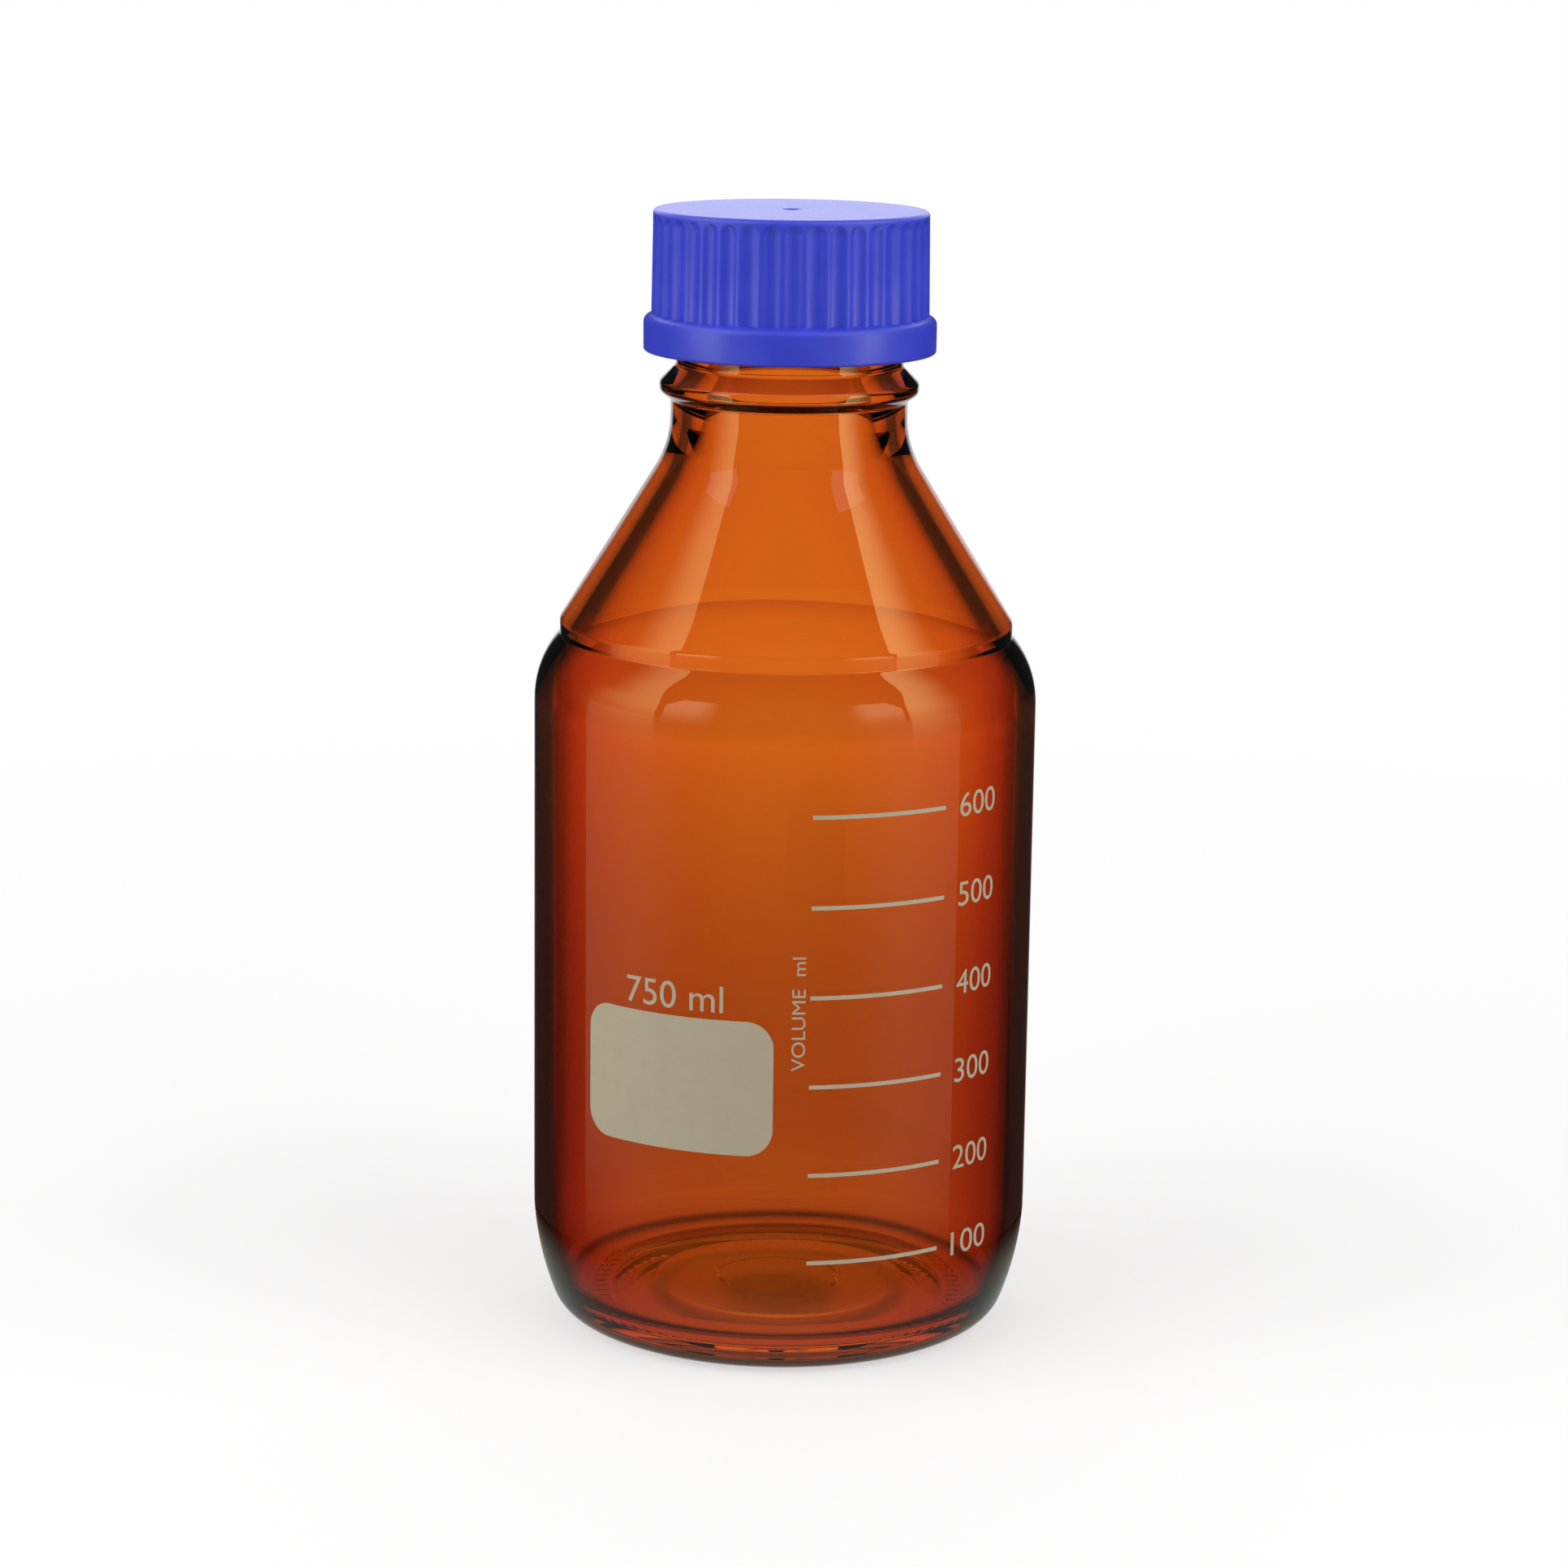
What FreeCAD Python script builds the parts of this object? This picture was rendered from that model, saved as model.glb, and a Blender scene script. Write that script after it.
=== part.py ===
"""Laboratory screw-cap bottle: a blown glass bottle, its pouring ring and its fluted screw cap.

Millimetres, +Z up. The origin is where the bottle's axis meets the surface that it stands on.
"""

import FreeCAD, Part

import math
import os

# Glass body
BODY_DIAMETER = 94.0
WALL = 3.2
FLOOR_THICKNESS = 4.0
FLOOR_CROWN = 2.2
FLOOR_BLEND = 30.0
INNER_HEEL_RADIUS = 9.0
HEEL_HEIGHT = 14.3
HEEL_ANGLE = 20.0
HEEL_FOOT_RADIUS = 6.4
HEEL_BLEND_RADIUS = 55.0

# Standing ring and push-up under the floor
BEARING_WIDTH = 5.6
PUSH_UP_RISE = 2.6
PUSH_UP_RUN = 8.6
PUSH_UP_BLEND = 4.0
MOULD_MARK_DIAMETER = 22.0
MOULD_MARK_DEPTH = 0.5

# Shoulder, ridge, cone and neck, stacked upwards from the corner of the shoulder
SHOULDER_HEIGHT = 125.3
SHOULDER_RADIUS = 18.5
INNER_SHOULDER_RADIUS = 20.0
RIDGE_RISE = 5.6
RIDGE_INSET = 4.7
RIDGE_SIDE = 2.7
RIDGE_RADIUS = 2.0
RIDGE_NOTCH_RADIUS = 0.6
CONE_HEIGHT = 32.9
NECK_DIAMETER = 43.8
NECK_LENGTH = 8.2
NECK_BLEND_RADIUS = 18.5
INNER_NECK_RADIUS = 12.0

# Bead round the neck, below the cap
BEAD_HEIGHT = 6.3
BEAD_PROUD = 2.1
BEAD_LAND = 1.8
BEAD_UNDERSIDE = 1.5
BEAD_RADIUS = 1.3
BEAD_FOOT_RADIUS = 0.8

# Neck finish: the threaded length, the seat of the pouring ring and the mouth
FINISH_HEIGHT = 24.6
THREAD_ROOT_DIAMETER = 42.0
THREAD_DEPTH = 1.3
THREAD_CLEARANCE = 0.45
MOUTH_BORE = 30.0
RIM_RADIUS = 1.2
SEAT_INSET = 1.4
SEAT_STEP = 0.8
RETAINER_PROUD = 0.4
RETAINER_HEIGHT = 2.7
RETAINER_SLOPE = 0.5

# Pouring ring, clipped over the mouth
RING_SKIRT = 6.0
RING_SKIRT_WALL = 0.8
RING_FOOT_CLEARANCE = 0.6
RING_RUNNING_CLEARANCE = 0.15
RING_BORE_CLEARANCE = 0.3
RING_FLANGE = 1.0
RING_HEIGHT = 1.9
RING_FLARE = 2.1
RING_LIP_WIDTH = 0.6
RING_LIP_SLOPE = 0.6
RING_EDGE_RADIUS = 0.4
SNAP_HEIGHT = 1.6
SNAP_SLOPE = 0.4
SNAP_CLEARANCE = 0.2

# Screw cap
CAP_HEIGHT = 26.0
CAP_TOP = 2.0
CAP_WALL = 2.6
CAP_DRAFT = 0.8
CAP_EDGE_RADIUS = 0.8
CAP_INNER_RADIUS = 0.8
COLLAR_HEIGHT = 6.9
COLLAR_PROUD = 1.65
COLLAR_SLOPE = 0.8
COLLAR_EDGE_RADIUS = 1.4
COLLAR_FOOT_RADIUS = 0.6
COLLAR_WALL = 2.6
FLUTE_COUNT = 40
FLUTE_START_ANGLE = 1.1
FLUTE_DEPTH = 0.62
FLUTE_RIDGE = 0.7
FLUTE_TOP_MARGIN = 1.1
SEAL_CLEARANCE = 0.15
SEAL_DEPTH = 1.4
SEAL_TIP = 0.5
SEAL_ROOT = 1.4
GATE_DIAMETER = 3.6
GATE_DEPTH = 0.4

# The most of a side that the roundings at its two ends may use together
ROUNDING_SHARE = 0.98

ORIGIN = FreeCAD.Vector(0, 0, 0)
AXIS = FreeCAD.Vector(0, 0, 1)

# Radii and heights that two pieces share
mouth_r = MOUTH_BORE / 2
root_r = THREAD_ROOT_DIAMETER / 2
seat_r = root_r - SEAT_INSET
retainer_r = seat_r + RETAINER_PROUD
ridge_z = SHOULDER_HEIGHT + RIDGE_RISE
ridge_top_z = ridge_z + RIDGE_SIDE
neck_z = ridge_top_z + CONE_HEIGHT
bead_z = neck_z + NECK_LENGTH
finish_z = bead_z + BEAD_HEIGHT
mouth_z = finish_z + FINISH_HEIGHT
retainer_z = mouth_z - RETAINER_HEIGHT
ring_foot_z = mouth_z - RING_SKIRT
ring_top_z = mouth_z + RING_HEIGHT
ring_bore_r = mouth_r + RING_BORE_CLEARANCE
ring_lip_r = ring_bore_r + RING_FLARE


def corner(radius, height, rounding=0.0):
    """One corner of an outline in the half plane beside the axis, and its rounding."""
    return FreeCAD.Vector(radius, 0, height), rounding


def limited_reaches(points, reaches):
    """How far each rounding runs along its sides, shrunk where two of them share a short side."""
    limited = list(reaches)
    for i, reach in enumerate(reaches):
        following = (i + 1) % len(points)
        room = ROUNDING_SHARE * (points[following] - points[i]).Length
        wanted = reach + reaches[following]
        if wanted > room:
            limited[i] = min(limited[i], reach * room / wanted)
            limited[following] = min(limited[following], reaches[following] * room / wanted)
    return limited


def rounded_wire(corners):
    """A closed wire through the corners, with an arc tangent to both sides at each rounding."""
    points = [point for point, _ in corners]
    back = [(points[i - 1] - point).normalize() for i, point in enumerate(points)]
    ahead = [-back[(i + 1) % len(points)] for i in range(len(points))]
    half_turns = [(math.pi - b.getAngle(a)) / 2 for b, a in zip(back, ahead)]
    reaches = [rounding * math.tan(turn) for (_, rounding), turn in zip(corners, half_turns)]
    limited = limited_reaches(points, reaches)
    edges = []
    for i, point in enumerate(points):
        end = point + ahead[i] * limited[i]
        if limited[i] > 0:
            radius = limited[i] / math.tan(half_turns[i])
            crown = radius / math.cos(half_turns[i]) - radius
            middle = point + (back[i] + ahead[i]).normalize() * crown
            edges.append(Part.Arc(point + back[i] * limited[i], middle, end).toShape())
        following = (i + 1) % len(points)
        next_start = points[following] + back[following] * limited[following]
        edges.append(Part.LineSegment(end, next_start).toShape())
    return Part.Wire(edges)


def turned(corners):
    """The solid that an outline makes when it is turned round the axis."""
    return Part.Face(rounded_wire(corners)).revolve(ORIGIN, AXIS, 360)


class Slope:
    """A straight side of an outline, between two corners."""

    def __init__(self, low, high):
        self.low = low
        self.high = high

    def moved_inwards(self, distance):
        """The same side, moved square to itself towards the axis."""
        along = (self.high - self.low).normalize()
        sideways = FreeCAD.Vector(-along.z, 0, along.x) * distance
        return Slope(self.low + sideways, self.high + sideways)

    def height_at(self, radius):
        """The height at which the side, or its extension, reaches a radius."""
        share = (radius - self.low.x) / (self.high.x - self.low.x)
        return self.low.z + share * (self.high.z - self.low.z)

    def radius_at(self, height):
        """The radius that the side, or its extension, has at a height."""
        share = (height - self.low.z) / (self.high.z - self.low.z)
        return self.low.x + share * (self.high.x - self.low.x)


def glass_bottle():
    """The bottle: standing ring, heel, straight side, shoulder ridge, cone, bead and mouth."""
    body_r = BODY_DIAMETER / 2
    neck_r = NECK_DIAMETER / 2
    bead_r = neck_r + BEAD_PROUD
    ridge_r = body_r - RIDGE_INSET
    inner_r = body_r - WALL

    foot_r = body_r - HEEL_HEIGHT * math.tan(math.radians(HEEL_ANGLE))
    bearing_r = foot_r - HEEL_FOOT_RADIUS * math.tan(math.radians(90 - HEEL_ANGLE) / 2)
    bearing_inner_r = bearing_r - BEARING_WIDTH
    dish_r = bearing_inner_r - PUSH_UP_RUN
    mark_r = MOULD_MARK_DIAMETER / 2
    floor_z = FLOOR_THICKNESS + FLOOR_CROWN

    heel = Slope(FreeCAD.Vector(foot_r, 0, 0), FreeCAD.Vector(body_r, 0, HEEL_HEIGHT))
    cone = Slope(FreeCAD.Vector(ridge_r, 0, ridge_top_z), FreeCAD.Vector(neck_r, 0, neck_z))
    inner_heel = heel.moved_inwards(WALL)
    inner_cone = cone.moved_inwards(WALL)

    underside = [
        corner(0, PUSH_UP_RISE + MOULD_MARK_DEPTH),
        corner(mark_r, PUSH_UP_RISE + MOULD_MARK_DEPTH),
        corner(mark_r + MOULD_MARK_DEPTH, PUSH_UP_RISE),
        corner(dish_r, PUSH_UP_RISE, PUSH_UP_BLEND),
        corner(bearing_inner_r, 0, PUSH_UP_BLEND),
    ]
    outside = [
        corner(foot_r, 0, HEEL_FOOT_RADIUS),
        corner(body_r, HEEL_HEIGHT, HEEL_BLEND_RADIUS),
        corner(body_r, SHOULDER_HEIGHT, SHOULDER_RADIUS),
        corner(ridge_r, ridge_z, RIDGE_NOTCH_RADIUS),
        corner(ridge_r, ridge_top_z, RIDGE_RADIUS),
        corner(neck_r, neck_z, NECK_BLEND_RADIUS),
        corner(neck_r, bead_z, BEAD_FOOT_RADIUS),
        corner(bead_r, bead_z + BEAD_UNDERSIDE, BEAD_RADIUS),
        corner(bead_r, bead_z + BEAD_UNDERSIDE + BEAD_LAND, BEAD_RADIUS),
        corner(root_r, finish_z, BEAD_RADIUS),
    ]
    seat_z = ring_foot_z - RING_FOOT_CLEARANCE
    mouth = [
        corner(root_r, seat_z - SEAT_STEP),
        corner(seat_r, seat_z),
        corner(seat_r, retainer_z - RETAINER_SLOPE),
        corner(retainer_r, retainer_z),
        corner(retainer_r, mouth_z, RIM_RADIUS),
        corner(mouth_r, mouth_z, RIM_RADIUS),
    ]
    inside = [
        corner(mouth_r, inner_cone.height_at(mouth_r), INNER_NECK_RADIUS),
        corner(inner_r, inner_cone.height_at(inner_r), INNER_SHOULDER_RADIUS),
        corner(inner_r, inner_heel.height_at(inner_r), HEEL_BLEND_RADIUS),
        corner(inner_heel.radius_at(FLOOR_THICKNESS), FLOOR_THICKNESS, INNER_HEEL_RADIUS),
        corner(dish_r, floor_z, FLOOR_BLEND),
        corner(0, floor_z),
    ]
    return turned(underside + outside + mouth + inside)


def pouring_ring():
    """The ring on the mouth: a skirt that snaps under the retainer, and a flared pouring lip."""
    skirt_r = retainer_r + RING_RUNNING_CLEARANCE
    outer_r = skirt_r + RING_SKIRT_WALL
    snap_r = seat_r + RING_RUNNING_CLEARANCE
    snap_top_z = retainer_z - RETAINER_SLOPE - SNAP_CLEARANCE
    snap_foot_z = snap_top_z - SNAP_HEIGHT
    flange_z = mouth_z + RING_FLANGE
    lip_outer_r = ring_lip_r + RING_LIP_WIDTH
    return turned([
        corner(ring_bore_r, mouth_z),
        corner(skirt_r, mouth_z),
        corner(skirt_r, snap_top_z + SNAP_SLOPE),
        corner(snap_r, snap_top_z),
        corner(snap_r, snap_foot_z),
        corner(skirt_r, snap_foot_z - SNAP_SLOPE),
        corner(skirt_r, ring_foot_z),
        corner(outer_r, ring_foot_z, RING_EDGE_RADIUS),
        corner(outer_r, flange_z, RING_EDGE_RADIUS),
        corner(lip_outer_r + RING_LIP_SLOPE, flange_z, RING_EDGE_RADIUS),
        corner(lip_outer_r, ring_top_z),
        corner(ring_lip_r, ring_top_z),
    ])


def flute_cutters(skirt, flute_foot_z, flute_top_z):
    """One round-nosed cutter for each flute, laid along the tapered skirt."""
    middle_r = skirt.radius_at((flute_foot_z + flute_top_z) / 2)
    half_width = middle_r * math.sin(math.pi / FLUTE_COUNT) - FLUTE_RIDGE / 2
    cutter_r = (half_width ** 2 + FLUTE_DEPTH ** 2) / (2 * FLUTE_DEPTH)
    axis_offset = cutter_r - FLUTE_DEPTH
    nose_z = flute_top_z - half_width
    foot = FreeCAD.Vector(skirt.radius_at(flute_foot_z) + axis_offset, 0, flute_foot_z)
    nose = FreeCAD.Vector(skirt.radius_at(nose_z) + axis_offset, 0, nose_z)
    run = nose - foot
    shank = Part.makeCylinder(cutter_r, run.Length, foot, run)
    cutter = shank.fuse(Part.makeSphere(cutter_r, nose)).removeSplitter()
    cutters = []
    for i in range(FLUTE_COUNT):
        turned_cutter = cutter.copy()
        turned_cutter.rotate(ORIGIN, AXIS, FLUTE_START_ANGLE + i * 360 / FLUTE_COUNT)
        cutters.append(turned_cutter)
    return cutters


def screw_cap():
    """The cap: a fluted, slightly tapered skirt over a plain collar, with a lip that seals inside."""
    top_z = ring_top_z + CAP_TOP
    foot_z = top_z - CAP_HEIGHT
    collar_z = foot_z + COLLAR_HEIGHT
    bore_r = root_r + THREAD_DEPTH + THREAD_CLEARANCE
    top_r = bore_r + CAP_WALL
    collar_r = top_r + COLLAR_PROUD
    collar_bore_r = collar_r - COLLAR_WALL
    lead_in = collar_bore_r - bore_r
    skirt_foot_r = top_r + (top_z - collar_z) * math.tan(math.radians(CAP_DRAFT))
    skirt = Slope(FreeCAD.Vector(skirt_foot_r, 0, collar_z), FreeCAD.Vector(top_r, 0, top_z))
    flare = Slope(FreeCAD.Vector(ring_bore_r, 0, mouth_z), FreeCAD.Vector(ring_lip_r, 0, ring_top_z))
    seal_tip_z = ring_top_z - SEAL_DEPTH
    seal_tip_r = flare.radius_at(seal_tip_z) - SEAL_CLEARANCE
    seal_root_r = ring_lip_r - SEAL_CLEARANCE

    outside = [
        corner(0, top_z - GATE_DEPTH),
        corner(GATE_DIAMETER / 2 - GATE_DEPTH, top_z - GATE_DEPTH),
        corner(GATE_DIAMETER / 2, top_z),
        corner(top_r, top_z, CAP_EDGE_RADIUS),
        corner(skirt_foot_r, collar_z),
        corner(collar_r, collar_z - COLLAR_SLOPE, COLLAR_EDGE_RADIUS),
        corner(collar_r, foot_z, COLLAR_FOOT_RADIUS),
    ]
    inside = [
        corner(collar_bore_r, foot_z),
        corner(collar_bore_r, collar_z - COLLAR_WALL),
        corner(bore_r, collar_z - COLLAR_WALL + lead_in),
        corner(bore_r, ring_top_z, CAP_INNER_RADIUS),
        corner(seal_root_r, ring_top_z),
        corner(seal_tip_r, seal_tip_z),
        corner(seal_tip_r - SEAL_TIP, seal_tip_z),
        corner(seal_root_r - SEAL_ROOT - SEAL_DEPTH, ring_top_z),
        corner(0, ring_top_z),
    ]
    blank = turned(outside + inside)
    return blank.cut(flute_cutters(skirt, collar_z, top_z - FLUTE_TOP_MARGIN))


os.makedirs("parts", exist_ok=True)
for build in (glass_bottle, pouring_ring, screw_cap):
    build().exportStep(f"parts/{build.__name__}.step")
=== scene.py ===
"""Looks of a laboratory screw-cap bottle: amber glass, fired print, pouring ring and fluted cap.

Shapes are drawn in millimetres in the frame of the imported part: +Z is up along the bottle's axis and -Y is
the front. A finished mesh is brought to metres, with its object left at the origin. The studio is laid out
in metres.
"""

import logging
import math
from abc import ABC, abstractmethod
from collections.abc import Iterator, Sequence
from dataclasses import dataclass
from enum import Enum

import bmesh
import bpy
from mathutils import Matrix, Vector, noise


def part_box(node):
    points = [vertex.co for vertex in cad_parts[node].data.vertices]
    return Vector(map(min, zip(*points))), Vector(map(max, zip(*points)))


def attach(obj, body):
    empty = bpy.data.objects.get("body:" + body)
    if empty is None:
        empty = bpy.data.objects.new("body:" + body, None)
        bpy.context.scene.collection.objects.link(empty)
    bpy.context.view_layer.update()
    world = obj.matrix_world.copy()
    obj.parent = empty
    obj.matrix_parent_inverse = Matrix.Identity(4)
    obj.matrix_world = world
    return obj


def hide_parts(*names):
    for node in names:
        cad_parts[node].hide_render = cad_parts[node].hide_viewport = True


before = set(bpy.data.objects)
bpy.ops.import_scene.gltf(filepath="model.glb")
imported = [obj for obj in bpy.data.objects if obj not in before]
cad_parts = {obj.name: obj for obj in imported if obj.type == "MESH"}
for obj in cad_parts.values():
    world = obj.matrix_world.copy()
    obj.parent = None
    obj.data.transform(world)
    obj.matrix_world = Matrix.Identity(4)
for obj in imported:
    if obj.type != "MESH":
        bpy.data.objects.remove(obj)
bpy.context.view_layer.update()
MM = 0.001
AXIS = Vector((0.0, 0.0, 1.0))
ORIGIN = Vector((0.0, 0.0, 0.0))

# The longest step of a drawn arc, as an angle and in millimetres.
ARC_STEP = math.radians(6.0)
ARC_LENGTH = 1.6

# Millimetres within which a skin's seams are welded, a flat layer is welded and cut, and a point counts as
# being on a wall.
WELD = 0.0005
HAIR = 1e-5
NEAR = 0.05

# Millimetres by which the glass leaves room for its print, and the cap stays under the top of its solid.
PRINT_ROOM = 0.06
TOP_ROOM = 0.001

Span = tuple[float, float]
Rows = tuple[Span, ...]
Stops = tuple[tuple[float, str], ...]

log = logging.getLogger("bottle")


class Body(Enum):
    """The bodies of the part that a piece can ride on."""

    BOTTLE = "bottle"
    RING = "pouring_ring"
    CAP = "cap"


class Slot(Enum):
    """The record's material slots."""

    GLASS = "amber_glass"
    PLASTIC = "blue_polypropylene"
    ENAMEL = "fired_enamel"


class Ray(Enum):
    """Kinds of ray that a stage material can answer in its own way."""

    CAMERA = "Is Camera Ray"
    GLOSSY = "Is Glossy Ray"
    THROUGH = "Is Transmission Ray"


def linear(hex_colour: str) -> tuple[float, float, float, float]:
    """Turn an sRGB hex colour into linear light.

    Args:
        hex_colour: The colour, such as "#4450C4".

    Returns:
        Linear red, green and blue, and an alpha of 1.
    """
    shares = [int(hex_colour[i:i + 2], 16) / 255 for i in (1, 3, 5)]
    light = [s / 12.92 if s <= 0.04045 else ((s + 0.055) / 1.055) ** 2.4 for s in shares]
    return (*light, 1.0)


def smooth(share: float) -> float:
    """Ease a share from 0 to 1, flat at both ends and clamped outside them."""
    held = min(max(share, 0.0), 1.0)
    return held * held * (3 - 2 * held)


def add(tree: bpy.types.NodeTree, kind: str, inputs: dict[str | int, object] | None = None,
        stops: Stops = (), **settings: object) -> bpy.types.Node:
    """Add a node to a tree.

    Args:
        tree: The node tree that gets the node.
        kind: The node's type name.
        inputs: Socket name or number to a value, or to the output socket that feeds it.
        stops: For a colour ramp, the place and the sRGB hex colour of each stop, from the left.
        **settings: Properties of the node itself.

    Returns:
        The new node.
    """
    node = tree.nodes.new(kind)
    for name, value in settings.items():
        setattr(node, name, value)
    for name, value in (inputs or {}).items():
        if isinstance(value, bpy.types.NodeSocket):
            tree.links.new(value, node.inputs[name])
        else:
            node.inputs[name].default_value = value
    if stops:
        elements = node.color_ramp.elements
        elements.remove(elements[1])
        elements[0].position = stops[0][0]
        elements[0].color = linear(stops[0][1])
        for place, colour in stops[1:]:
            elements.new(place).color = linear(colour)
    return node


def seen(tree: bpy.types.NodeTree, *kinds: Ray) -> bpy.types.NodeSocket:
    """Tell some kinds of ray from the rest.

    Args:
        tree: The node tree that gets the nodes.
        *kinds: The kinds of ray.

    Returns:
        A share that is 1 for those kinds and 0 for the rest.
    """
    path = add(tree, "ShaderNodeLightPath")
    share = path.outputs[kinds[0].value]
    for kind in kinds[1:]:
        either = add(tree, "ShaderNodeMath", {0: share, 1: path.outputs[kind.value]}, operation="MAXIMUM")
        share = either.outputs["Value"]
    return share


@dataclass(frozen=True)
class Finish(ABC):
    """How a surface looks. Its name says what the material is and how its surface was made."""

    name: str = "plain"

    @abstractmethod
    def shader(self, tree: bpy.types.NodeTree) -> bpy.types.NodeSocket:
        """Build the nodes of the finish.

        Args:
            tree: The material's empty node tree.

        Returns:
            The socket of the finished shader.
        """

    def material(self) -> bpy.types.Material:
        """Build the material, or take the one that an earlier piece of the same finish built.

        Returns:
            The material of this finish.
        """
        made = bpy.data.materials.get(self.name)
        if made:
            return made
        material = bpy.data.materials.new(self.name)
        material.use_nodes = True
        tree = material.node_tree
        tree.nodes.clear()
        add(tree, "ShaderNodeOutputMaterial", {"Surface": self.shader(tree)})
        return material


@dataclass(frozen=True)
class StainedGlass(Finish):
    """Clear borosilicate glass, blown in a mould and stained amber on its outside in the kiln.

    The colour is a skin, so thick and thin glass look the same orange. It goes through red to brown where
    the skin is crossed at a slant. Nearer the edge it carries painted shade: a near-black band with a
    lighter rim, and a dark band round the neck, standing in for the dark room that the glass refracts there.
    The clear inside has painted shade at its own edge for the same room, and the heel is painted dark as
    shade. The skin is bright but never quite even, which makes reflections swim a little.
    Heights, radii and the wave are in millimetres.
    """

    name: str = "borosilicate_glass_amber_stained_painted_edge_shade"
    mask: str = "stain"
    refraction: float = 1.473
    # Amber deepening to red with the slant, then painted shade: a near-black band and a lighter rim.
    body_stain: Stops = (
        (0.0, "#DC6B19"), (0.1, "#D85F15"), (0.2, "#D25213"), (0.32, "#C43C0E"), (0.43, "#AE260A"),
        (0.52, "#A02008"), (0.57, "#7A1A08"), (0.63, "#1E0C06"), (0.68, "#0E0806"), (0.86, "#0E0806"),
        (0.92, "#5A220A"), (1.0, "#8C3C0E"),
    )
    # Painted shade on the neck: amber to red, a dark band partway to the edge, and a darker rim.
    neck_stain: Stops = (
        (0.0, "#DC6B19"), (0.2, "#D65F16"), (0.38, "#C84A10"), (0.46, "#B4380C"), (0.53, "#30120A"),
        (0.645, "#200E08"), (0.7, "#8A300C"), (0.77, "#B0460F"), (0.9, "#A8420F"), (1.0, "#60240A"),
    )
    # Painted shade: the clear inside skin goes from white to near black towards its edge.
    clear: Stops = (
        (0.0, "#FFFFFF"), (0.45, "#FFFFFF"), (0.6, "#D8D2CC"), (0.72, "#8C8278"), (0.85, "#3A302A"),
        (1.0, "#2A221E"),
    )
    neck_stain_heights: Span = (128.0, 138.0)
    slant_heights: Span = (130.0, 172.0)
    added_slant: float = 0.09
    # Painted shade: the lowest outer part of the heel is mixed to dark brown.
    heel_colour: str = "#2A140A"
    heel_heights: Span = (2.8, 4.8)
    heel_radii: Span = (39.5, 42.0)
    wave_length: float = 16.0
    wave_height: float = 0.008

    def shader(self, tree: bpy.types.NodeTree) -> bpy.types.NodeSocket:
        """Build the glass from its stained and clear skins, told apart by the mask, with painted edge shade.

        Args:
            tree: The material's empty node tree.

        Returns:
            The socket of the finished shader.
        """
        place = add(tree, "ShaderNodeTexCoord").outputs["Object"]
        slant = add(tree, "ShaderNodeLayerWeight", {"Blend": 0.5}).outputs["Facing"]
        # The clear inside skin with its painted edge shade.
        clear = add(tree, "ShaderNodeValToRGB", {"Fac": slant}, self.clear)
        mask = add(tree, "ShaderNodeAttribute", attribute_name=self.mask)
        colour = add(tree, "ShaderNodeMixRGB", {
            "Fac": mask.outputs["Fac"],
            "Color1": clear.outputs["Color"],
            "Color2": self.stain(tree, place, slant),
        })
        wave = add(tree, "ShaderNodeTexNoise", {
            "Vector": place,
            "Scale": 1 / (self.wave_length * MM),
            "Detail": 1.0,
        })
        skin = add(tree, "ShaderNodeBump", {
            "Height": wave.outputs["Fac"],
            "Strength": 1.0,
            "Distance": self.wave_height * MM,
        })
        shader = add(tree, "ShaderNodeBsdfPrincipled", {
            "Base Color": colour.outputs["Color"],
            "Roughness": 0.0,
            "IOR": self.refraction,
            "Transmission Weight": 1.0,
            "Normal": skin.outputs["Normal"],
        })
        return shader.outputs["BSDF"]

    def stain(self, tree: bpy.types.NodeTree, place: bpy.types.NodeSocket,
              slant: bpy.types.NodeSocket) -> bpy.types.NodeSocket:
        """Colour the stained skin, with painted shade: dark edge bands on body and neck, and a dark heel.

        Args:
            tree: The material's node tree.
            place: The place on the bottle.
            slant: How slantwise the skin is crossed, from 0 to 1.

        Returns:
            The skin's colour, with its painted shade.
        """
        height = add(tree, "ShaderNodeSeparateXYZ", {"Vector": place}).outputs["Z"]
        shift = add(tree, "ShaderNodeMapRange", {
            "Value": height,
            "From Min": self.slant_heights[0] * MM,
            "From Max": self.slant_heights[1] * MM,
            "To Max": self.added_slant,
        }, interpolation_type="SMOOTHSTEP")
        steeper = add(tree, "ShaderNodeMath", {0: slant, 1: shift.outputs["Result"]}, operation="ADD")
        body = add(tree, "ShaderNodeValToRGB", {"Fac": slant}, self.body_stain)
        neck = add(tree, "ShaderNodeValToRGB", {"Fac": steeper.outputs["Value"]}, self.neck_stain)
        # Blend from the body's painted shade to the neck's by height.
        upper = add(tree, "ShaderNodeMapRange", {
            "Value": height,
            "From Min": self.neck_stain_heights[0] * MM,
            "From Max": self.neck_stain_heights[1] * MM,
        }, interpolation_type="SMOOTHSTEP")
        wall = add(tree, "ShaderNodeMixRGB", {
            "Fac": upper.outputs["Result"],
            "Color1": body.outputs["Color"],
            "Color2": neck.outputs["Color"],
        })
        flat = add(tree, "ShaderNodeVectorMath", {0: place, 1: (1.0, 1.0, 0.0)}, operation="MULTIPLY")
        radius = add(tree, "ShaderNodeVectorMath", {0: flat.outputs["Vector"]}, operation="LENGTH")
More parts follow.
